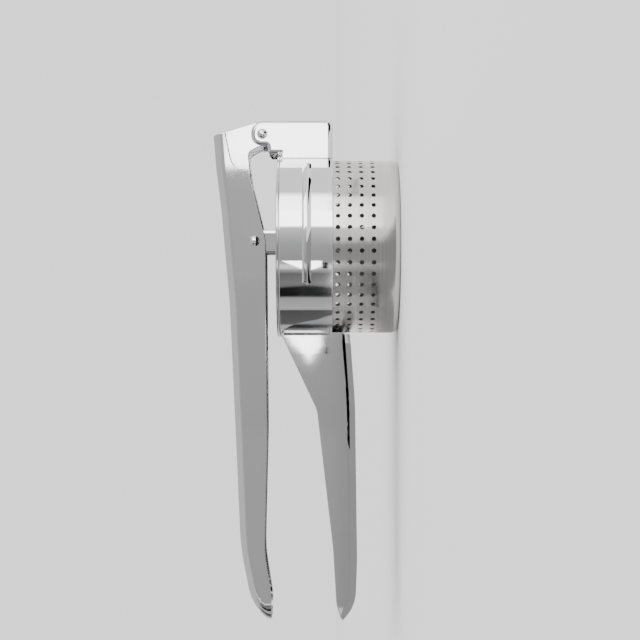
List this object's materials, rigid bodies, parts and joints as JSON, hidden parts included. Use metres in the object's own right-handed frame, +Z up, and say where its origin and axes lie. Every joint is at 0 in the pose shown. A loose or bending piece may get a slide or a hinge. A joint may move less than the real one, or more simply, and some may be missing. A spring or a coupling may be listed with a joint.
{
  "type": "potato ricer",
  "caption": "Lever-action potato ricer in chromed sheet steel: a ring carries a perforated steel basket, and a hinged upper handle drives a press plate down into it.",
  "frame": {"origin": "centre of the basket's flat bottom, on its underside", "axes": "+Z up along the basket's axis out of its mouth, +X towards the handle tips, +Y along the hinge pin"},
  "size_m": [0.2615, 0.0966, 0.0962],
  "materials": {
    "basket_steel": "brushed round the axis, satin",
    "chrome_band": "mirror chrome on smooth sheet",
    "chrome_handle": "chrome plate, slightly soft",
    "pin_steel": "polished rivet steel",
    "plunger_steel": "chrome plate, satin"
  },
  "bodies": {
    "frame": {"ring_band": "chrome_band", "hinge_bracket": "chrome_band", "lower_handle": "chrome_handle", "hinge_pin": "pin_steel"},
    "basket": {"basket": "basket_steel"},
    "lever": {"lever": "chrome_handle", "plunger_pin": "pin_steel"},
    "plunger": {"plunger_strap": "plunger_steel", "press_plate": "plunger_steel", "plate_rivets": "pin_steel"}
  },
  "joints": [
    {"name": "lever_hinge", "type": "hinge", "parent": "frame", "child": "lever", "pos_m": [-0.058, 0, 0.0707], "axis": [0, -1, 0], "range_deg": [0, 80]},
    {"name": "plunger_pivot", "type": "hinge", "parent": "lever", "child": "plunger", "pos_m": [-0.0023, 0, 0.0747], "axis": [0, -1, 0], "range_deg": [-42.5, 0]},
    {"name": "basket_turn", "type": "hinge", "parent": "frame", "child": "basket", "pos_m": [0, 0, 0], "axis": [0, 0, 1], "continuous": true}
  ],
  "couplings": [
    {"joint": "plunger_pivot", "follows": "lever_hinge", "ratio": -0.53}
  ]
}
